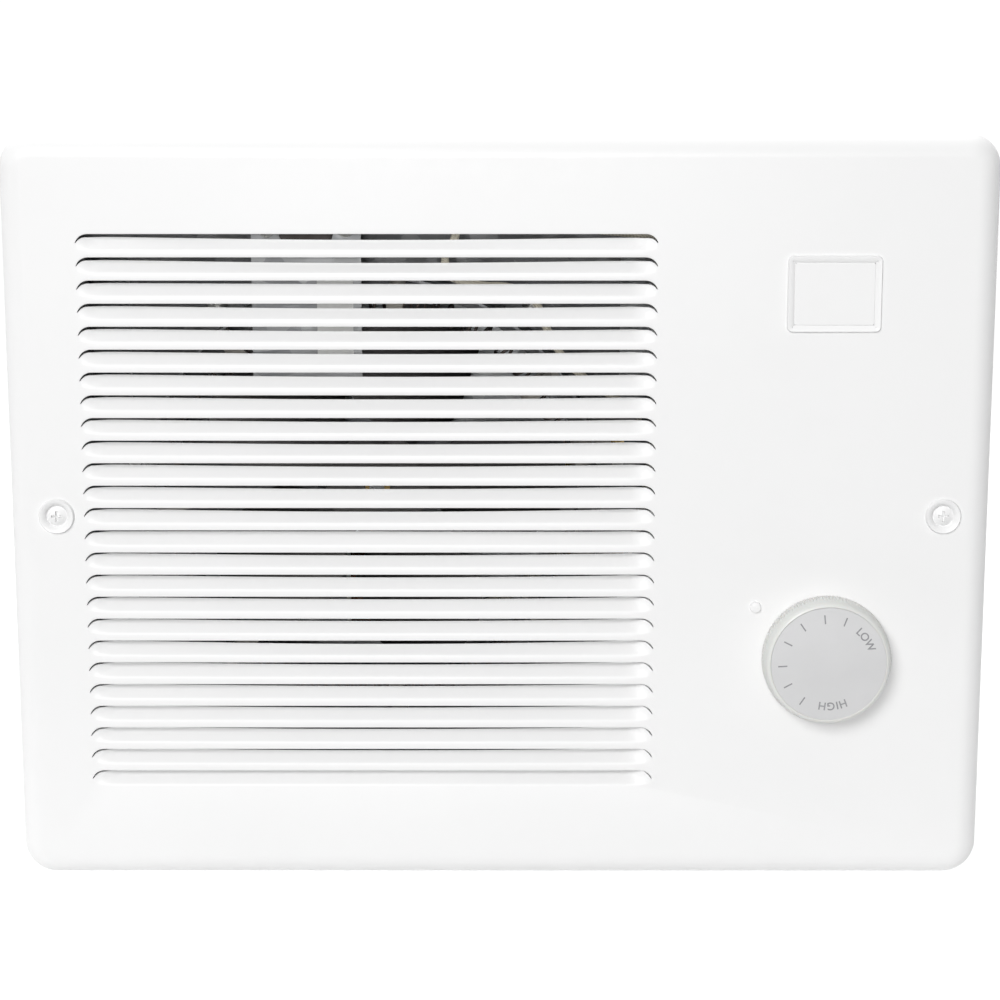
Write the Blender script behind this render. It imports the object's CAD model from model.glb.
"""Looks of a bathroom wall fan heater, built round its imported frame.

The frame is in metres: x to the right, y into the wall, z up. The helpers below work in the
wall's own millimetres (x right, y up, z out to the room), and place() turns those into the frame.
"""

import math

import bpy
from mathutils import Matrix, Vector
from mathutils.geometry import delaunay_2d_cdt


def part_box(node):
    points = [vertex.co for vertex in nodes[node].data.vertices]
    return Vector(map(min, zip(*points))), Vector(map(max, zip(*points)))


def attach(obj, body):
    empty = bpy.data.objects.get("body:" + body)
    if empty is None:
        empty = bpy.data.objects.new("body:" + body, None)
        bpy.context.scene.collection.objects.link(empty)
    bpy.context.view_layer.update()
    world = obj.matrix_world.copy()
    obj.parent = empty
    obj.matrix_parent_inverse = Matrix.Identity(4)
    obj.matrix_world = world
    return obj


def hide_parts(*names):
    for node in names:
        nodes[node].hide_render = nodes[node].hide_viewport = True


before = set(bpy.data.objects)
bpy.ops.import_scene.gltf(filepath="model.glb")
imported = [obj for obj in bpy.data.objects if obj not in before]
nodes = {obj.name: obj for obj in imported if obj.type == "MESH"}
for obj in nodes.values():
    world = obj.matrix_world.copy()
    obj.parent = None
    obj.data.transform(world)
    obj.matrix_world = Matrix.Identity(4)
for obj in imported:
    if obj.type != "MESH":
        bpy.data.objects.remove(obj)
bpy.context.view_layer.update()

MM = 0.001
scene = bpy.context.scene

# ---- Sizes in millimetres ----

# Grille
FACE = 9.5              # flat face, out from the wall
SHEET = 1.0
ROLL = 7.0              # radius of the rolled edge
ROLL_STEPS = 12
CORNER = 10.5
CORNER_LEAST = 1.2
CORNER_STEPS = 10
FLAT_INSET = 8.6        # where the flat face's triangles end, in from the rim
ROLL_MARGIN = 0.4

# Louvres
LOUVRES = 25
PITCH = 7.06
LOUVRE_W = 177.2
LOUVRE_H = 5.0
LOUVRE_TOP = 87.35
AIR_X = -40.5           # middle of the louvre field
RECESS = 3.2            # how far a blade's free edge is pressed in
RAMP = 8.0              # over which a blade reaches that depth, in from its ends
ARC_R = 4.0             # curve of a cut's ends
ARC_SWEEP = math.radians(71)
ARC_W = ARC_R * math.sin(ARC_SWEEP)
ARC_STEPS = 11
MIDDLE_STEPS = 22
BLADE = ((0, 0), (0.06, 0.02), (0.13, 0.08), (0.22, 0.19), (0.35, 0.35), (0.52, 0.56), (0.7, 0.77),
         (0.84, 0.92), (0.92, 0.98), (1, 1))        # share of the height, share of the depth
STRIP_LEVELS = (0, 0.07, 0.2, 0.45, 1)              # up the flat strip over a cut
TURN_LEVEL = STRIP_LEVELS[2]                        # up to which its edge is turned in
TURN_DEPTH = 0.08
TURN_RAMP = 1.5
END_COLUMNS = (-2.2, -1.1, -0.4)                    # outside a cut's end
INNER_COLUMNS = (0.8, 1.7, 2.7, 3.9, 5.4, 7.4, 10)  # inwards from its curve
COLUMN_CROWDING = 1.35                              # of the curve's columns towards its end

# Gap over a blade: wider in the middle, and narrower row by row downwards
LOUVRE_GAP = 1.25
CLOSING = (0.166, 0.0193)   # of the first row, and more for each row
CLOSING_RAMP = 4            # over which closing and opening set in, inwards from a blade's ends
END_RELIEF = 0.3            # share of the closing that the ends are spared
RIGHT_OPENING = 0.28        # wider towards the right end, alike on every row
RIGHT_CLOSING = 0.045       # narrower near the right end, more for each row
GAP_LEAST = 0.12
BOW = 0.8                   # wider in the middle of a row
WIDE_ROWS = {0: 0.15, 1: 0.15, 12: 0.15, 18: 0.35}          # added to a row's bow
TIGHT_ROWS = {2: (0, 0.35), 13: (0.08, 0.1), 24: (0, 0)}    # closing spared, and the row's own bow

# Details of the face
DIMPLE_R = 4.75
DIMPLE_DEPTH = 1.6
SCREW_HEAD_R = 3.3
HOLE_R = 8.0
DOT_REACH = 27.5
DOT_ANGLE = math.radians(54)
NAME_DEPTH = 0.5
NAME_CLEAR = 0.2
NAME_CORNER = 0.6
NAME_CORNER_LEAST = 0.3
NAME_STEPS = 5
ROUND_STEPS = 48
DOT_STEPS = 24

# Knob
KNURLS = 120
KNURL_SAMPLES = 6       # points round the knob for each knurl
KNURL_DEPTH = 0.35
BEVEL_W = 1.7
BEVEL_H = 3.6
BEVEL_STEPS = 7
BEVEL_START = 0.35      # how far in the bevel starts
BORE_R = 3.25           # for the dial's shaft
HUB_R = 6
SKIRT_WALL = 1.8
SKIRT_H = 8             # from the top down to the skirt's foot
TICKS = (20, -6, -35, -63, -93, -119, -146)     # degrees clockwise from straight up
TICK_IN = 12.85
TICK_OUT = 15.7
TICK_W = 0.42
WORDS = (("LOW", 56, 12.8, 0.05), ("HIGH", 173.5, 12.4, 0.6))   # middle's angle, foot's radius, space
WORD_H = 2.55
CAPITAL = 0.729         # height of a capital, as a share of the letter size
LETTER_STROKE = 0.05    # added round each letter
PRINT = 0.04            # height of the print

# Heating coil
COIL_TURNS = 80
COIL_SPAN = 320         # degrees
COIL_RINGS = 16         # points for each turn
COIL_R = 3.4
COIL_LEAD_IN = 0.75     # turns over which the winding opens and closes
WIRE_R = 0.5
WIRE_SIDES = 8
COIL_Z = -19.0
RING_R = 64.0
POST_ANGLE = 13         # degrees
POST_HEAD_R = 3.55

# ---- Camera, floor and lights in metres ----

CAMERA = (0, -0.74195, 0.14836)
AIM = (0, 0, 0.003319)
LENS = 86.73            # in millimetres, on a 36 mm sensor
SENSOR = 36
NEAREST = 0.05
FLOOR_Z = -0.26
FLOOR_SIDE = 8
FLOOR_FRONT = -0.17
FLOOR_BACK = 2.2
WORLD_LIGHT = 1.05
WORLD_BEHIND = 0.3      # y of a direction, from which the world is white
WORLD_HIGH = 0.9        # z of a direction, from which the room is brightest
ROOM_LOW = 0.12
ROOM_HIGH = 0.4
LIGHTS = (("key", (-0.95, -2.45, 1.35), (0, 0, 0), 1.2, 52.3),
          ("front", (-0.1, -2.8, 0.42), (0, 0, 0), 0.5, 32.4),
          ("back", (0, 1.3, 1.9), (0, 1.5, FLOOR_Z), 1.2, 34))      # place, aim, side, watts

WELD_REACH = 2e-6       # within which two points are one, in metres


def box_mm(node):
    """x0, x1, y0, y1, z0, z1 of a CAD node on the wall, in millimetres."""
    lo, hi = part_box(node)
    return [v / MM for v in (lo.x, hi.x, lo.z, hi.z, -hi.y, -lo.y)]


def place(p):
    """Point of the frame, in metres, for a point on the wall, in millimetres."""
    return (p[0] * MM, -p[2] * MM, p[1] * MM)


grille_box = box_mm("grille")
HALF_W = grille_box[1]
HALF_H = grille_box[3]
knob_box = box_mm("knob")
DIAL_X = (knob_box[0] + knob_box[1]) / 2
DIAL_Y = (knob_box[2] + knob_box[3]) / 2
KNOB_R = (knob_box[1] - knob_box[0]) / 2
KNOB_TOP = knob_box[5]
inlay_box = box_mm("knob_inlay")
INLAY_R = (inlay_box[1] - inlay_box[0]) / 2
INLAY_T = inlay_box[5] - inlay_box[4]
SCREW_X = box_mm("grille_screws")[1] - SCREW_HEAD_R
name_box = box_mm("nameplate")


# ---- Meshes ----

class Sheet:
    """Points and faces of a mesh, gathered in wall millimetres."""

    def __init__(self):
        self.points = []
        self.faces = []

    def point(self, x, y, z):
        self.points.append((x, y, z))
        return len(self.points) - 1

    def loft(self, rows, closed=True):
        """Quads between rows of points; each row has as many points as the next."""
        ids = [[self.point(*p) for p in row] for row in rows]
        for a, b in zip(ids, ids[1:]):
            count = len(a) if closed else len(a) - 1
            for k in range(count):
                n = (k + 1) % len(a)
                self.faces.append((a[k], a[n], b[n], b[k]))
        return ids

    def build(self, name, sharp=40, weld=False):
        """Mesh object of the points and faces, smooth but for edges sharper than an angle."""
        mesh = bpy.data.meshes.new(name)
        mesh.from_pydata([place(p) for p in self.points], [], self.faces)
        obj = bpy.data.objects.new(name, mesh)
        scene.collection.objects.link(obj)
        if weld:
            add = obj.modifiers.new("weld", "WELD")
            add.merge_threshold = WELD_REACH
            settle(obj)
        smooth(obj, sharp)
        return obj


def settle(obj):
    """Applies the object's modifiers to its mesh."""
    depsgraph = bpy.context.evaluated_depsgraph_get()
    mesh = bpy.data.meshes.new_from_object(obj.evaluated_get(depsgraph))
    obj.modifiers.clear()
    obj.data = mesh


def smooth(obj, angle):
    """Smooth shading, with edges sharper than the angle, in degrees, kept."""
    for polygon in obj.data.polygons:
        polygon.use_smooth = True
    obj.data.set_sharp_from_angle(angle=math.radians(angle))


def round_loop(cx, cy, r, z, count):
    """Loop round a circle, anticlockwise from the right side."""
    return [(cx + r * math.cos(t), cy + r * math.sin(t), z)
            for t in (2 * math.pi * k / count for k in range(count))]


def round_rect(cx, cy, half_w, half_h, r, z, steps):
    """Loop round a rectangle with rounded corners, anticlockwise from the right side."""
    loop = []
    for q in range(4):
        sx = 1 if q in (0, 3) else -1
        sy = 1 if q in (0, 1) else -1
        for k in range(steps + 1):
            t = math.pi / 2 * (q + k / steps)
            loop.append((cx + sx * (half_w - r) + r * math.cos(t),
                         cy + sy * (half_h - r) + r * math.sin(t), z))
    return loop


# ---- Grille ----

def rim_loops():
    """Loops from the flat face outwards, over the roll and down to the wall."""
    def ring(inset, z):
        corner = max(CORNER - inset, CORNER_LEAST)
        return round_rect(0, 0, HALF_W - inset, HALF_H - inset, corner, z, CORNER_STEPS)

    loops = [ring(FLAT_INSET, FACE), ring(ROLL + ROLL_MARGIN, FACE)]
    for k in range(ROLL_STEPS + 1):
        t = math.pi / 2 * k / ROLL_STEPS
        loops.append(ring(ROLL * (1 - math.sin(t)), FACE - ROLL * (1 - math.cos(t))))
    loops.append(ring(0, 0))
    return loops


def louvre_columns():
    """Places across the louvre field, closest together where the cuts curve down at their ends."""
    offsets = list(END_COLUMNS)
    offsets += [ARC_W * (k / ARC_STEPS) ** COLUMN_CROWDING for k in range(ARC_STEPS + 1)]
    offsets += [ARC_W + step for step in INNER_COLUMNS]
    left = AIR_X - LOUVRE_W / 2
    right = AIR_X + LOUVRE_W / 2
    inner = offsets[-1]
    span = right - left - 2 * inner
    middle = [left + inner + span * k / MIDDLE_STEPS for k in range(1, MIDDLE_STEPS)]
    return [left + o for o in offsets] + middle + [right - o for o in reversed(offsets)]


def cut_drop(reach):
    """How far the cut lies below its straight part, at this distance inwards from its end."""
    if reach >= ARC_W:
        return 0
    away = ARC_W - max(reach, 0)
    return ARC_R - math.sqrt(ARC_R ** 2 - away ** 2)


def ease(t):
    """Smooth step from 0 to 1."""
    t = min(max(t, 0), 1)
    return t * t * (3 - 2 * t)


def louvre_gap(row, x, reach, drop):
    """Width of the gap over a row's blade, at x and this distance inwards from its end."""
    relief, bow = TIGHT_ROWS.get(row, (0, BOW + WIDE_ROWS.get(row, 0)))
    closing = CLOSING[0] + CLOSING[1] * row - relief
    share = min(max(reach, 0) / ARC_W, 1) ** 0.55
    across = min(abs(x - AIR_X) / (LOUVRE_W / 2 - ARC_R), 1)
    right = min(max(x - AIR_X, 0) / (LOUVRE_W / 2), 1)
    inwards = ease(reach / CLOSING_RAMP)
    pinch = (closing * (1 - END_RELIEF * across ** 4) + RIGHT_CLOSING * row * right ** 8) * inwards
    opened = (LOUVRE_GAP * share * ARC_R / (ARC_R - drop) - pinch + RIGHT_OPENING * right * inwards
              + bow * (1 - across ** 2) ** 1.5)
    return max(opened, GAP_LEAST * share)


def louvre_band(sheet, row, columns):
    """One louvre with the flat strip over its cut, from its foot to the next louvre's foot."""
    foot = LOUVRE_TOP - row * PITCH - LOUVRE_H
    blade_rows = [[] for _ in BLADE]
    strip_rows = [[] for _ in STRIP_LEVELS]
    for x in columns:
        reach = LOUVRE_W / 2 - abs(x - AIR_X)
        drop = cut_drop(reach)
        cut = foot + LOUVRE_H - drop
        depth = RECESS * ease(reach / RAMP)
        top = cut - louvre_gap(row, x, reach, drop)
        for (level, lean), out in zip(BLADE, blade_rows):
            out.append((x, foot + level * (top - foot), FACE - depth * lean))
        for level, out in zip(STRIP_LEVELS, strip_rows):
            turn = TURN_DEPTH * ease(reach / TURN_RAMP) * max(1 - level / TURN_LEVEL, 0) ** 2
            out.append((x, cut + level * (foot + PITCH - cut), FACE - turn))
    sheet.loft(blade_rows, closed=False)
    sheet.loft(strip_rows, closed=False)


def dimple_loops(cx):
    """Loops down into the dimple round a grille screw."""
    profile = [(DIMPLE_R + 1.3, 0), (DIMPLE_R + 0.5, 0), (DIMPLE_R + 0.15, 0.05), (DIMPLE_R - 0.1, 0.2),
               (DIMPLE_R - 0.35, 0.5), (DIMPLE_R - 0.75, 1.2), (DIMPLE_R - 0.95, 1.47),
               (DIMPLE_R - 1.25, DIMPLE_DEPTH), (2.5, DIMPLE_DEPTH)]
    return [round_loop(cx, 0, r, FACE - depth, ROUND_STEPS) for r, depth in profile]


def hole_loops():
    """Loops into the hole for the dial's shaft, with a slightly turned edge."""
    profile = [(HOLE_R + 1.5, 0), (HOLE_R + 0.2, 0), (HOLE_R + 0.06, 0.03), (HOLE_R, 0.12)]
    return [round_loop(DIAL_X, DIAL_Y, r, FACE - depth, ROUND_STEPS) for r, depth in profile]


def dot_loops():
    """Small round pip pressed out of the face beside the dial."""
    cx = DIAL_X - DOT_REACH * math.sin(DOT_ANGLE)
    cy = DIAL_Y + DOT_REACH * math.cos(DOT_ANGLE)
    profile = [(2, 0), (1.6, 0), (1.3, 0.015), (1, 0.05), (0.75, 0.09), (0.5, 0.12), (0.25, 0.14),
               (0.02, 0.145)]
    return [round_loop(cx, cy, r, FACE + height, DOT_STEPS) for r, height in profile]


def name_loops():
    """Loops down into the nameplate's recess."""
    cx = (name_box[0] + name_box[1]) / 2
    cy = (name_box[2] + name_box[3]) / 2
    half_w = (name_box[1] - name_box[0]) / 2 + NAME_CLEAR
    half_h = (name_box[3] - name_box[2]) / 2 + NAME_CLEAR
    profile = [(1.6, 0), (0.9, 0), (0.6, 0.02), (0.35, 0.07), (0.12, 0.14), (-0.06, 0.19), (-0.17, 0.22),
               (-0.18, NAME_DEPTH), (-1.2, NAME_DEPTH)]
    return [round_rect(cx, cy, half_w + grow, half_h + grow, max(NAME_CORNER + grow, NAME_CORNER_LEAST),
                       FACE - depth, NAME_STEPS)
            for grow, depth in profile]


def fill_flat(sheet, outer, holes):
    """Triangles over the flat face between the outer loop and the holes' loops."""
    points = []
    edges = []
    for loop in [outer] + holes:
        first = len(points)
        points += [Vector((p[0], p[1])) for p in loop]
        edges += [(first + k, first + (k + 1) % len(loop)) for k in range(len(loop))]

    def inside(loop, x, y):
        odd = False
        for a, b in zip(loop, loop[1:] + loop[:1]):
            if (a[1] > y) != (b[1] > y) and x < a[0] + (y - a[1]) / (b[1] - a[1]) * (b[0] - a[0]):
                odd = not odd
        return odd

    found, _, triangles, _, _, _ = delaunay_2d_cdt(points, edges, [], 1, 1e-6)
    ids = [sheet.point(p.x, p.y, FACE) for p in found]
    for triangle in triangles:
        x = sum(found[k].x for k in triangle) / 3
        y = sum(found[k].y for k in triangle) / 3
        if inside(outer, x, y) and not any(inside(hole, x, y) for hole in holes):
            sheet.faces.append(tuple(ids[k] for k in triangle))


def field_loop(columns):
    """Loop round the louvre field through the points of its bands."""
    bottom = LOUVRE_TOP - (LOUVRES - 1) * PITCH - LOUVRE_H
    top = LOUVRE_TOP + PITCH - LOUVRE_H
    heights = [bottom]
    for row in range(LOUVRES - 1, -1, -1):
        foot = LOUVRE_TOP - row * PITCH - LOUVRE_H
        cut = foot + LOUVRE_H - cut_drop(-1)
        heights += [foot + level * (cut - foot) for level, _ in BLADE[1:]]
        heights += [cut + level * (foot + PITCH - cut) for level in STRIP_LEVELS[1:]]
    loop = [(x, bottom) for x in columns]
    loop += [(columns[-1], y) for y in heights[1:]]
    loop += [(x, top) for x in reversed(columns[:-1])]
    loop += [(columns[0], y) for y in reversed(heights[1:-1])]
    return loop


def make_grille():
    """The louvred pan as one sheet: rim, louvres, dimples, hole, dot, recess and the face between them."""
    sheet = Sheet()
    rim = rim_loops()
    sheet.loft(list(reversed(rim)))
    columns = louvre_columns()
    for row in range(LOUVRES):
        louvre_band(sheet, row, columns)
    closed_features = [dot_loops(), name_loops()]
    features = [dimple_loops(-SCREW_X), dimple_loops(SCREW_X), hole_loops()] + closed_features
    for loops in features:
        sheet.loft([list(reversed(loop)) for loop in loops])
    for loops in closed_features:
        inner = [sheet.point(*p) for p in loops[-1]]
        sheet.faces.append(tuple(inner))
    fill_flat(sheet, rim[0], [field_loop(columns)] + [loops[0] for loops in features])
    grille = sheet.build("louvred_grille", weld=True)
    thick = grille.modifiers.new("sheet", "SOLIDIFY")
    thick.thickness = SHEET * MM
    thick.offset = -1
    settle(grille)
    smooth(grille, 42)
    return grille


# ---- Knob ----

def make_knob():
    """Knurled ring with a rounded bevel, a seat for the inlay, a hollow skirt and the hub.

    The profile's points are radius, height and the share of the knurls' depth cut there.
    """
    foot = KNOB_TOP - SKIRT_H
    bevel_foot = KNOB_TOP - BEVEL_H
    seat = KNOB_TOP - INLAY_T
    skirt_r = KNOB_R - KNURL_DEPTH - SKIRT_WALL
    profile = [(BORE_R, bevel_foot - 0.6, 0), (BORE_R, 0.05, 0), (BORE_R + 0.35, 0, 0), (HUB_R - 0.3, 0, 0),
               (HUB_R, 0.3, 0), (HUB_R, bevel_foot - 0.8, 0), (HUB_R + 0.4, bevel_foot - 0.1, 0),
               (skirt_r - 0.6, bevel_foot, 0),
               (skirt_r, bevel_foot - 0.6, 0), (skirt_r, foot, 0), (KNOB_R - 0.45, foot, 0.1),
               (KNOB_R - 0.1, foot + 0.15, 0.7), (KNOB_R, foot + 0.5, 1), (KNOB_R, bevel_foot - 0.35, 1),
               (KNOB_R - 0.05, bevel_foot - 0.1, 0.75), (KNOB_R - 0.2, bevel_foot + 0.15, 0.3)]
    bevel_run = BEVEL_W - BEVEL_START
    for k in range(1, BEVEL_STEPS + 1):
        t = k / BEVEL_STEPS
        inset = BEVEL_START + bevel_run * (1 - math.cos(t * math.pi / 2)) * 0.72 + bevel_run * 0.28 * t
        profile.append((KNOB_R - inset, bevel_foot + 0.2 + (BEVEL_H - 0.32) * math.sin(t * math.pi / 2), 0))
    profile += [(KNOB_R - BEVEL_W - 0.12, KNOB_TOP, 0), (INLAY_R + 0.16, KNOB_TOP, 0),
                (INLAY_R + 0.06, KNOB_TOP - 0.08, 0), (INLAY_R + 0.05, seat - 0.02, 0),
                (0.02, seat - 0.02, 0)]
    count = KNURLS * KNURL_SAMPLES
    rows = []
    for r, z, knurl in profile:
        row = []
        for k in range(count):
            a = 2 * math.pi * k / count
            groove = (0.5 - 0.5 * math.cos(2 * math.pi * k / KNURL_SAMPLES)) ** 1.5
            q = r - knurl * KNURL_DEPTH * groove
            row.append((DIAL_X + q * math.cos(a), DIAL_Y + q * math.sin(a), z))
        rows.append(row)
    sheet = Sheet()
    ids = sheet.loft(rows)
    sheet.faces.append(tuple(reversed(ids[0])))
    sheet.faces.append(tuple(ids[-1]))
    return sheet.build("knurled_knob", sharp=50)


def dial_point(r, clockwise):
    """Point on the dial at radius r and an angle clockwise from straight up."""
    a = math.radians(clockwise)
    return DIAL_X + r * math.sin(a), DIAL_Y + r * math.cos(a)


def make_ticks():
    """Flat bars along the dial's radii."""
    sheet = Sheet()
    for angle in TICKS:
        a = math.radians(angle)
        side_x, side_y = math.cos(a) * TICK_W / 2, -math.sin(a) * TICK_W / 2
        (in_x, in_y), (out_x, out_y) = dial_point(TICK_IN, angle), dial_point(TICK_OUT, angle)
        corners = [(in_x - side_x, in_y - side_y), (in_x + side_x, in_y + side_y),
                   (out_x + side_x, out_y + side_y), (out_x - side_x, out_y - side_y)]
        low = [sheet.point(x, y, KNOB_TOP) for x, y in corners]
        high = [sheet.point(x, y, KNOB_TOP + PRINT) for x, y in corners]
        sheet.faces.append(tuple(high))
        sheet.faces.append(tuple(reversed(low)))
        for k in range(4):
            n = (k + 1) % 4
            sheet.faces.append((low[k], low[n], high[n], high[k]))
    return sheet.build("dial_ticks")


def make_letter(character):
    """Mesh of one raised letter, with the x of its middle and its width, in metres."""
    curve = bpy.data.curves.new("dial_letter", "FONT")
    curve.body = character
    curve.size = WORD_H / CAPITAL * MM
    curve.extrude = PRINT / 2 * MM
    curve.offset = LETTER_STROKE * MM
    letter = bpy.data.objects.new("dial_letter", curve)
    scene.collection.objects.link(letter)
    bpy.context.view_layer.update()
    depsgraph = bpy.context.evaluated_depsgraph_get()
    mesh = bpy.data.meshes.new_from_object(letter.evaluated_get(depsgraph))
    bpy.data.objects.remove(letter)
    xs = [v.co.x for v in mesh.vertices]
    return mesh, (min(xs) + max(xs)) / 2, max(xs) - min(xs)


def make_dial_print():
    """Raised print on the inlay: seven ticks, and the words LOW and HIGH along the rim."""
    parts = [make_ticks()]
    for word, middle, foot_r, gap in WORDS:
        letters = [make_letter(character) for character in word]
        space = gap * MM
        total = sum(width for _, _, width in letters) + space * (len(letters) - 1)
        along = -total / 2
        for mesh, centre, width in letters:
            turn = math.radians(middle) + (along + width / 2) / (foot_r + WORD_H / 2) / MM
            along += width + space
            x, y = dial_point(foot_r, math.degrees(turn))
            on_dial = Matrix.Translation(place((x, y, KNOB_TOP + PRINT / 2))) @ Matrix.Rotation(turn, 4, "Y")
            centred = Matrix.Translation((-centre, 0, 0))
            mesh.transform(on_dial @ Matrix.Rotation(math.pi / 2, 4, "X") @ centred)
            letter = bpy.data.objects.new("dial_letter_%d" % len(parts), mesh)
            scene.collection.objects.link(letter)
            parts.append(letter)
    return join(parts, "dial_print")


def join(parts, name):
    """One object from several meshes whose places are in their vertices."""
    points, faces = [], []
    for part in parts:
        first = len(points)
        points += [v.co.copy() for v in part.data.vertices]
        faces += [[first + k for k in polygon.vertices] for polygon in part.data.polygons]
        bpy.data.objects.remove(part)
    mesh = bpy.data.meshes.new(name)
    mesh.from_pydata(points, [], faces)
    obj = bpy.data.objects.new(name, mesh)
    scene.collection.objects.link(obj)
    return obj


# ---- Wires ----

def tube(sheet, path, r, sides, side_of):
    """Closed tube along path; side_of holds a direction across the path at each point."""
    rows = []
    for k, p in enumerate(path):
        ahead = path[min(k + 1, len(path) - 1)] - path[max(k - 1, 0)]
        ahead.normalize()
        across = side_of[k]
        across = (across - ahead * across.dot(ahead)).normalized()
        other = ahead.cross(across)
        rows.append([tuple(p + r * (math.cos(t) * across + math.sin(t) * other))
                     for t in (2 * math.pi * j / sides for j in range(sides))])
    ids = sheet.loft(rows)
    sheet.faces.append(tuple(reversed(ids[0])))
    sheet.faces.append(tuple(ids[-1]))


def make_coil():
    """The wound heating wire, with its straight tails to the two terminals."""
    def direction(a):
        return Vector((math.cos(math.radians(a)), math.sin(math.radians(a)), 0))

    middle = Vector((AIR_X, 0, COIL_Z))
    tail_end = POST_ANGLE + math.degrees(math.asin(POST_HEAD_R / RING_R))
    tail_start = 180 - COIL_SPAN / 2
    path = [middle + RING_R * direction(a) for a in (tail_end, (tail_end + tail_start) / 2)]
    sides = [direction(tail_end), direction(tail_end)]
    for k in range(COIL_TURNS * COIL_RINGS + 1):
        v = k / COIL_RINGS
        reach = COIL_R * min(1, v / COIL_LEAD_IN, (COIL_TURNS - v) / COIL_LEAD_IN)
        turn = 2 * math.pi * v
        out = direction(tail_start + COIL_SPAN * v / COIL_TURNS)
        path.append(middle + out * (RING_R + reach * math.cos(turn)) + Vector((0, 0, reach * math.sin(turn))))
        sides.append(out * math.cos(turn) + Vector((0, 0, math.sin(turn))))
    path += [middle + RING_R * direction(-a) for a in ((tail_end + tail_start) / 2, tail_end)]
    sides += [direction(-tail_end), direction(-tail_end)]
    sheet = Sheet()
    tube(sheet, path, WIRE_R, WIRE_SIDES, sides)
    return sheet.build("wound_heating_wire", sharp=60)


# ---- Materials ----

def material(name, colour, rough, metal=0.0, **sockets):
    """Principled material; sockets are named with underscores for spaces."""
    made = bpy.data.materials.new(name)
    made.use_nodes = True
    shader = made.node_tree.nodes["Principled BSDF"]
    shader.inputs["Base Color"].default_value = (*colour, 1)
    shader.inputs["Roughness"].default_value = rough
    shader.inputs["Metallic"].default_value = metal
    for socket, value in sockets.items():
        shader.inputs[socket.replace("_", " ")].default_value = value
    return made


def texture(made, kind, scale, **settings):
    """A texture node in object space, scale in features per metre."""
    tree = made.node_tree
    place_node = tree.nodes.get("Place") or tree.nodes.new("ShaderNodeTexCoord")
    place_node.name = "Place"
    stretch = settings.pop("stretch", None)
    made_node = tree.nodes.new("ShaderNodeTex" + kind)
    made_node.inputs["Scale"].default_value = scale
    for key, value in settings.items():
        if key in made_node.inputs:
            made_node.inputs[key].default_value = value
        else:
            setattr(made_node, key, value)
    if stretch:
        mapping = tree.nodes.new("ShaderNodeMapping")
        mapping.inputs["Scale"].default_value = stretch
        tree.links.new(place_node.outputs["Object"], mapping.inputs["Vector"])
        tree.links.new(mapping.outputs["Vector"], made_node.inputs["Vector"])
    else:
        tree.links.new(place_node.outputs["Object"], made_node.inputs["Vector"])
    return made_node


def ramp(made, source, stops, socket):
    """Sends a texture through a colour ramp into a socket of the shader."""
    tree = made.node_tree
    node = tree.nodes.new("ShaderNodeValToRGB")
    elements = node.color_ramp.elements
    while len(elements) < len(stops):
        elements.new(0.5)
    for element, (at, colour) in zip(elements, stops):
        element.position = at
        element.color = (*colour, 1) if isinstance(colour, tuple) else (colour, colour, colour, 1)
    tree.links.new(source, node.inputs["Fac"])
    tree.links.new(node.outputs["Color"], tree.nodes["Principled BSDF"].inputs[socket])


def bump(made, source, distance, strength=1.0):
    """Bump of a real height, in millimetres."""
    tree = made.node_tree
    shader = tree.nodes["Principled BSDF"]
    node = tree.nodes.new("ShaderNodeBump")
    node.inputs["Distance"].default_value = distance * MM
    node.inputs["Strength"].default_value = strength
    if shader.inputs["Normal"].is_linked:
        tree.links.new(shader.inputs["Normal"].links[0].from_socket, node.inputs["Normal"])
    tree.links.new(source, node.inputs["Height"])
    tree.links.new(node.outputs["Normal"], shader.inputs["Normal"])


def shade(colour, factor):
    """A darker or lighter colour."""
    return tuple(c * factor for c in colour)


def white_paint():
    """Baked enamel with a faint orange peel."""
    colour = (0.80, 0.80, 0.80)
    made = material("white_enamel", colour, 0.36, Specular_IOR_Level=0.3)
    cloud = texture(made, "Noise", 14, Detail=3)
    ramp(made, cloud.outputs["Fac"], [(0.35, shade(colour, 0.99)), (0.65, colour)], "Base Color")
    grain = texture(made, "Noise", 260, Detail=4)
    ramp(made, grain.outputs["Fac"], [(0.3, 0.3), (0.7, 0.38)], "Roughness")
    peel = texture(made, "Noise", 1100, Detail=2)
    bump(made, peel.outputs["Fac"], 0.02, 0.25)
    return made


def satin_plate():
    """The bare nameplate, brushed across."""
    colour = (0.775, 0.79, 0.81)
    made = material("nameplate_satin", colour, 0.36, Specular_IOR_Level=0.3)
    cloud = texture(made, "Noise", 60, Detail=2)
    ramp(made, cloud.outputs["Fac"], [(0.3, shade(colour, 0.985)), (0.7, colour)], "Base Color")
    lines = texture(made, "Noise", 120, Detail=3, stretch=(1, 1, 30))
    ramp(made, lines.outputs["Fac"], [(0.3, 0.3), (0.7, 0.42)], "Roughness")
    bump(made, lines.outputs["Fac"], 0.01, 0.3)
    return made


def moulded(name, colour, rough, scale=900, height=0.015, **sockets):
    """Moulded plastic: a faint cloud in its colour, and fine mould texture."""
    made = material(name, colour, rough, **sockets)
    cloud = texture(made, "Noise", 45, Detail=3)
    ramp(made, cloud.outputs["Fac"], [(0.3, shade(colour, 0.96)), (0.7, colour)], "Base Color")
    grain = texture(made, "Noise", scale, Detail=3)
    ramp(made, grain.outputs["Fac"], [(0.3, rough - 0.05), (0.7, rough + 0.07)], "Roughness")
    bump(made, grain.outputs["Fac"], height, 0.4)
    return made


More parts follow.
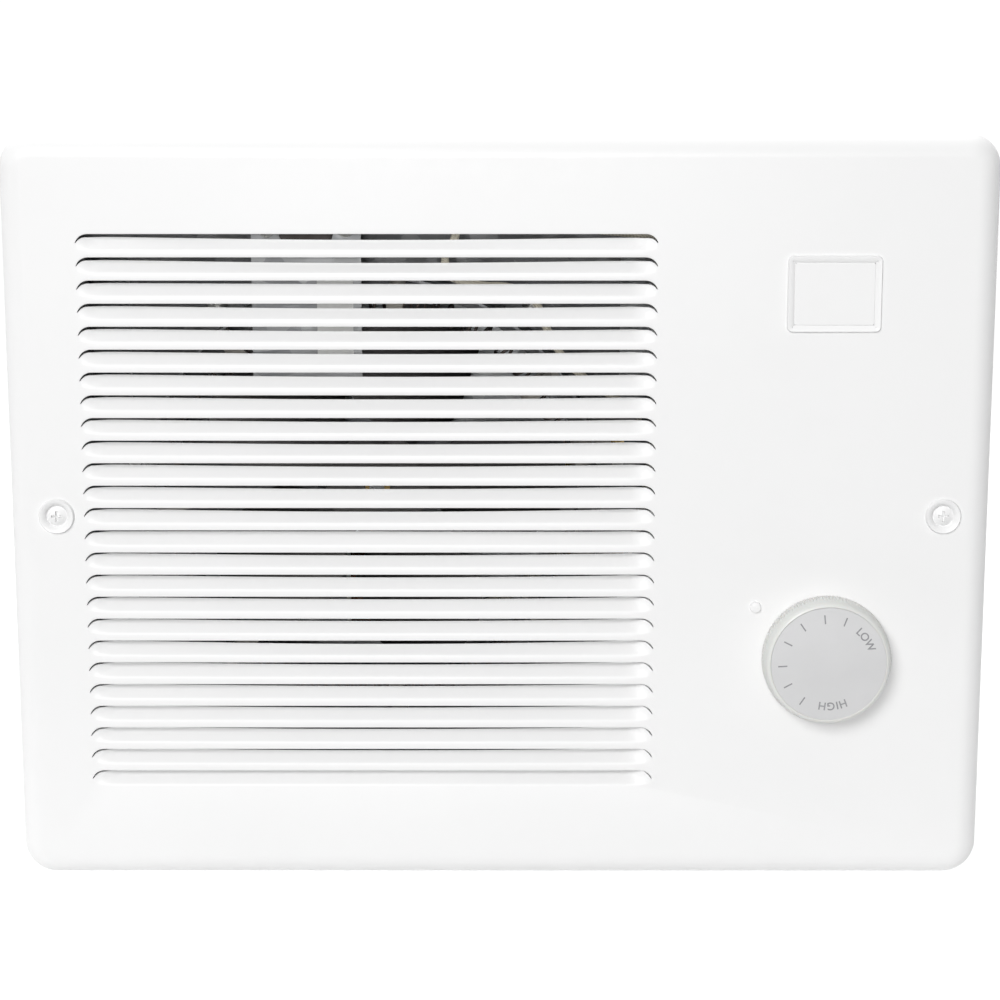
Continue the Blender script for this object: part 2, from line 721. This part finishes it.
def turned_disc():
    """Satin disc with very fine rings round the dial's axis."""
    colour = (0.645, 0.645, 0.65)
    made = material("satin_grey_disc", colour, 0.42, 0.25)
    tree = made.node_tree
    cloud = texture(made, "Noise", 70, Detail=3)
    ramp(made, cloud.outputs["Fac"], [(0.3, shade(colour, 0.965)), (0.7, shade(colour, 1.02))], "Base Color")
    rings = texture(made, "Wave", 2600, wave_type="RINGS", rings_direction="Y", Distortion=0.6)
    mapping = tree.nodes.new("ShaderNodeMapping")
    mapping.inputs["Location"].default_value = (-DIAL_X * MM, 0, -DIAL_Y * MM)
    tree.links.new(tree.nodes["Place"].outputs["Object"], mapping.inputs["Vector"])
    tree.links.new(mapping.outputs["Vector"], rings.inputs["Vector"])
    ramp(made, rings.outputs["Fac"], [(0.2, 0.38), (0.8, 0.46)], "Roughness")
    bump(made, rings.outputs["Fac"], 0.004, 0.3)
    return made


def print_grey():
    """The dial's print."""
    colour = (0.27, 0.27, 0.28)
    made = material("print_grey", colour, 0.5)
    cloud = texture(made, "Noise", 500, Detail=2)
    ramp(made, cloud.outputs["Fac"], [(0.35, shade(colour, 0.9)), (0.65, shade(colour, 1.1))], "Base Color")
    return made


def galvanised(name, light, metallic):
    """Zinc spangle: crystals of differing brightness and gloss, and a few handling marks."""
    made = material(name, shade((0.6, 0.61, 0.62), light), 0.42, metallic)
    crystals = texture(made, "Voronoi", 150, Randomness=1.0)
    tree = made.node_tree
    split = tree.nodes.new("ShaderNodeSeparateColor")
    tree.links.new(crystals.outputs["Color"], split.inputs["Color"])
    greys = [(0, (0.46, 0.475, 0.49)), (0.5, (0.58, 0.59, 0.6)), (1, (0.7, 0.71, 0.715))]
    ramp(made, split.outputs["Red"], [(at, shade(grey, light)) for at, grey in greys], "Base Color")
    ramp(made, split.outputs["Green"], [(0, 0.32), (1, 0.55)], "Roughness")
    marks = texture(made, "Noise", 240, Detail=5, stretch=(1, 1, 4))
    bump(made, marks.outputs["Fac"], 0.02, 0.3)
    return made


def metal(name, colour, rough, scale=180, height=0.01, stretch=None, vary=0.12):
    """Plain metal whose colour, gloss and grain vary a little."""
    made = material(name, colour, rough, 1.0)
    cloud = texture(made, "Noise", scale / 3, Detail=3)
    ramp(made, cloud.outputs["Fac"], [(0.3, shade(colour, 1 - vary)), (0.7, colour)], "Base Color")
    grain = texture(made, "Noise", scale, Detail=4, **({"stretch": stretch} if stretch else {}))
    ramp(made, grain.outputs["Fac"], [(0.3, max(rough - 0.08, 0.05)), (0.7, rough + 0.1)], "Roughness")
    bump(made, grain.outputs["Fac"], height, 0.35)
    return made


def stacked_plates():
    """Edges of the motor's thin steel plates, stacked along the shaft."""
    made = metal("motor_laminations", (0.23, 0.235, 0.25), 0.45)
    edges = texture(made, "Wave", 640, bands_direction="Y", Distortion=0.2)
    bump(made, edges.outputs["Fac"], 0.08, 0.8)
    return made


def braid(name, colour):
    """Woven glass sleeve of a hot lead."""
    made = material(name, colour, 0.75, Sheen_Weight=0.2)
    strands = texture(made, "Wave", 700, bands_direction="DIAGONAL", Distortion=0.4)
    ramp(made, strands.outputs["Fac"], [(0.1, shade(colour, 0.8)), (0.7, colour)], "Base Color")
    bump(made, strands.outputs["Fac"], 0.06, 0.7)
    return made


def copper_winding():
    """Turns of the motor's enamelled wire."""
    made = metal("enamelled_copper", (0.3, 0.12, 0.06), 0.34, vary=0.2)
    turns = texture(made, "Wave", 900, bands_direction="X", Distortion=0.1)
    bump(made, turns.outputs["Fac"], 0.12, 0.9)
    return made


def blank_label():
    """Paper of the rating label, without print."""
    colour = (0.78, 0.78, 0.76)
    made = material("bare_label", colour, 0.45)
    fibres = texture(made, "Noise", 700, Detail=4)
    ramp(made, fibres.outputs["Fac"], [(0.3, shade(colour, 0.95)), (0.7, colour)], "Base Color")
    bump(made, fibres.outputs["Fac"], 0.01, 0.3)
    return made


slot_materials = {
    "white_paint": white_paint(),
    "nameplate": satin_plate(),
    "knob_plastic": moulded("warm_white_plastic", (0.70, 0.695, 0.67), 0.38, Subsurface_Weight=0.05),
    "knob_inlay": turned_disc(),
    "galvanised_steel": galvanised("galvanised_sheet", 1.0, 0.9),
    "zinc_plated_steel": metal("zinc_plated_screws", (0.72, 0.72, 0.69), 0.3),
    "bright_steel": metal("bright_steel", (0.66, 0.66, 0.67), 0.22, stretch=(1, 12, 1)),
    "phenolic": moulded("phenolic_body", (0.026, 0.016, 0.013), 0.5, scale=500, height=0.03),
    "brass": metal("brass", (0.74, 0.52, 0.22), 0.28),
    "bronze": metal("sintered_bronze", (0.46, 0.29, 0.14), 0.5, scale=1500, height=0.05),
    "green_plating": metal("green_screw", (0.05, 0.34, 0.12), 0.32),
    "rubber": moulded("black_rubber", (0.02, 0.02, 0.021), 0.7, scale=700),
    "resistance_wire": metal("oxidised_heating_wire", (0.27, 0.225, 0.2), 0.5, scale=900, vary=0.45),
    "ceramic": moulded("steatite_ceramic", (0.55, 0.52, 0.47), 0.6, scale=1200, height=0.03),
    "label": blank_label(),
    "fan_aluminium": metal("heat_dulled_fan", (0.17, 0.165, 0.16), 0.45, scale=300, stretch=(1, 1, 8)),
    "die_cast": metal("die_cast_zinc", (0.58, 0.585, 0.6), 0.48, scale=1300, height=0.05),
    "laminations": stacked_plates(),
    "copper": copper_winding(),
    "nylon": moulded("nylon_bobbin", (0.75, 0.73, 0.66), 0.42, Subsurface_Weight=0.1),
    "light_lead": braid("glass_sleeve", (0.76, 0.71, 0.58)),
    "dark_lead": moulded("black_lead", (0.025, 0.024, 0.024), 0.45),
    "connector_plastic": moulded("orange_connector", (0.75, 0.24, 0.04), 0.4),
}

slot_nodes = {
    "white_paint": ["grille", "grille_screws"],
    "nameplate": ["nameplate"],
    "knob_plastic": ["knob"],
    "knob_inlay": ["knob_inlay"],
    "galvanised_steel": ["housing", "partition", "wiring_cover", "deck", "air_collar", "thermostat_bracket",
                         "cutout_bracket", "motor_bracket"],
    "zinc_plated_steel": ["clip_nuts", "side_screws", "partition_screws", "deck_screws", "collar_screws",
                          "cutout_bracket_screws", "through_screws", "through_nuts", "motor_bracket_screws"],
    "bright_steel": ["thermostat_shaft", "motor_shaft"],
    "phenolic": ["thermostat_body", "thermal_cutout"],
    "brass": ["thermostat_bushing", "thermostat_nut", "thermostat_terminals", "terminal_screws",
              "terminal_nuts", "cutout_terminals", "fan_hub"],
    "bronze": ["bearings"],
    "green_plating": ["ground_screw"],
    "rubber": ["grommets"],
    "resistance_wire": ["heating_coil"],
    "ceramic": ["coil_eyelets", "terminal_posts"],
    "label": ["rating_label"],
    "fan_aluminium": ["fan_wheel"],
    "die_cast": ["front_bearing_bracket", "rear_bearing_bracket"],
    "laminations": ["stator_stack", "rotor"],
    "copper": ["shading_rings", "winding"],
    "nylon": ["bobbin"],
    "light_lead": ["element_leads", "motor_leads"],
    "dark_lead": ["supply_leads"],
    "connector_plastic": ["wire_connectors"],
}


def dress(obj, slot):
    """Gives an object the slot's material, and names the slot to the frame."""
    obj.data.materials.clear()
    obj.data.materials.append(slot_materials[slot])


for slot_name, members in slot_nodes.items():
    for member in members:
        dress(nodes[member], slot_name)

# Sheet that the element's heat has dulled, and the fresh bracket in front of it
dulled = galvanised("heat_dulled_sheet", 0.3, 0.8)
for member in ("deck", "air_collar", "partition", "motor_bracket"):
    nodes[member].data.materials[0] = dulled
nodes["cutout_bracket"].data.materials[0] = galvanised("fresh_galvanised_sheet", 0.52, 0.4)

# ---- Pieces that stand for CAD nodes, and those that are only seen ----

grille = make_grille()
dress(grille, "white_paint")
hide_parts("grille")
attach(grille, "root")

knob = make_knob()
dress(knob, "knob_plastic")
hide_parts("knob")
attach(knob, "dial")

dial_print = make_dial_print()
dial_print.data.materials.append(print_grey())
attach(dial_print, "dial")

coil = make_coil()
dress(coil, "resistance_wire")
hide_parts("heating_coil")
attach(coil, "root")

# ---- Stage ----

def stage_material():
    """Plain pale floor."""
    colour = (0.91, 0.91, 0.91)
    made = material("pale_floor", colour, 0.9)
    cloud = texture(made, "Noise", 3, Detail=2)
    ramp(made, cloud.outputs["Fac"], [(0.3, (0.90, 0.90, 0.90)), (0.7, colour)], "Base Color")
    return made


floor_mesh = bpy.data.meshes.new("floor")
floor_corners = ((-FLOOR_SIDE, FLOOR_FRONT), (FLOOR_SIDE, FLOOR_FRONT), (FLOOR_SIDE, FLOOR_BACK),
                 (-FLOOR_SIDE, FLOOR_BACK))
floor_mesh.from_pydata([(x, y, FLOOR_Z) for x, y in floor_corners], [], [(0, 1, 2, 3)])
floor = bpy.data.objects.new("floor", floor_mesh)
floor_mesh.materials.append(stage_material())
scene.collection.objects.link(floor)


def make_world():
    """White behind the object, and a dimmer room in front that is brighter overhead."""
    world = bpy.data.worlds.new("studio")
    world.use_nodes = True
    tree = world.node_tree
    background = tree.nodes["Background"]
    background.inputs["Strength"].default_value = WORLD_LIGHT
    direction = tree.nodes.new("ShaderNodeTexCoord")
    split = tree.nodes.new("ShaderNodeSeparateXYZ")
    tree.links.new(direction.outputs["Generated"], split.inputs["Vector"])
    behind = tree.nodes.new("ShaderNodeMapRange")
    behind.inputs["From Min"].default_value = 0
    behind.inputs["From Max"].default_value = WORLD_BEHIND
    tree.links.new(split.outputs["Y"], behind.inputs["Value"])
    height = tree.nodes.new("ShaderNodeMapRange")
    height.inputs["From Min"].default_value = 0
    height.inputs["From Max"].default_value = WORLD_HIGH
    height.inputs["To Min"].default_value = ROOM_LOW
    height.inputs["To Max"].default_value = ROOM_HIGH
    tree.links.new(split.outputs["Z"], height.inputs["Value"])
    brighter = tree.nodes.new("ShaderNodeMath")
    brighter.operation = "MAXIMUM"
    tree.links.new(behind.outputs["Result"], brighter.inputs[0])
    tree.links.new(height.outputs["Result"], brighter.inputs[1])
    tree.links.new(brighter.outputs["Value"], background.inputs["Color"])
    return world


scene.world = make_world()


def facing(at, aim):
    """Rotation that points a light or camera at its aim."""
    return (Vector(aim) - Vector(at)).to_track_quat("-Z", "Y").to_euler()


def soft_light(name, at, aim, size, energy):
    """Square area light."""
    data = bpy.data.lights.new(name, "AREA")
    data.shape = "SQUARE"
    data.size = size
    data.energy = energy
    light = bpy.data.objects.new(name, data)
    light.location = at
    light.rotation_euler = facing(at, aim)
    scene.collection.objects.link(light)


for light_settings in LIGHTS:
    soft_light(*light_settings)

camera_data = bpy.data.cameras.new("camera")
camera_data.lens = LENS
camera_data.sensor_width = SENSOR
camera_data.clip_start = NEAREST
camera = bpy.data.objects.new("camera", camera_data)
camera.location = CAMERA
camera.rotation_euler = facing(CAMERA, AIM)
scene.collection.objects.link(camera)
scene.camera = camera
scene.view_settings.view_transform = "Standard"

bpy.context.view_layer.update()
